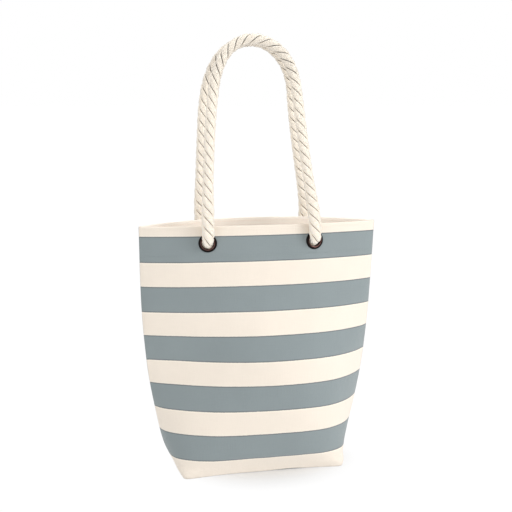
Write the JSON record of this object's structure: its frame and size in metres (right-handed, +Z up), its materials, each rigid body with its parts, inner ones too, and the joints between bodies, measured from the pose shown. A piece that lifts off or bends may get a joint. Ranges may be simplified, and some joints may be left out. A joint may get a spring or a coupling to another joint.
{
  "type": "canvas tote bag",
  "caption": "Open-topped striped canvas tote bag with a flat base, bronze eyelets and two arched rope handles that swing from the rim.",
  "frame": {"origin": "centre of the base's underside, on the surface that the bag stands on", "axes": "+Z up, from the base to the mouth; +X along the wide mouth to the bag's right; -Y towards the front panel"},
  "size_m": [0.3324, 0.1353, 0.5989],
  "materials": {
    "canvas": "plain weave, grey and cream stripes",
    "binding_tape": "woven tape",
    "eyelet_metal": "dark bronze, polished",
    "rope": "three-strand laid cotton",
    "twine": "waxed twine"
  },
  "bodies": {
    "bag": {"front_panel": "canvas", "back_panel": "canvas", "base_panel": "canvas", "base_seam_tape": "binding_tape", "left_side_seam": "canvas", "right_side_seam": "canvas", "front_left_eyelet": "eyelet_metal", "front_left_washer": "eyelet_metal", "front_left_rope_end": "rope", "front_left_whipping": "twine", "front_right_eyelet": "eyelet_metal", "front_right_washer": "eyelet_metal", "front_right_rope_end": "rope", "front_right_whipping": "twine", "rear_left_eyelet": "eyelet_metal", "rear_left_washer": "eyelet_metal", "rear_left_rope_end": "rope", "rear_left_whipping": "twine", "rear_right_eyelet": "eyelet_metal", "rear_right_washer": "eyelet_metal", "rear_right_rope_end": "rope", "rear_right_whipping": "twine"},
    "front_handle": {"front_handle": "rope"},
    "rear_handle": {"rear_handle": "rope"}
  },
  "joints": [
    {"name": "front_handle_swing", "type": "hinge", "parent": "bag", "child": "front_handle", "pos_m": [0, -0.03796, 0.32592], "axis": [1, 0, 0], "range_deg": [0, 160]},
    {"name": "rear_handle_swing", "type": "hinge", "parent": "bag", "child": "rear_handle", "pos_m": [0, 0.03796, 0.32592], "axis": [-1, 0, 0], "range_deg": [0, 160]}
  ]
}
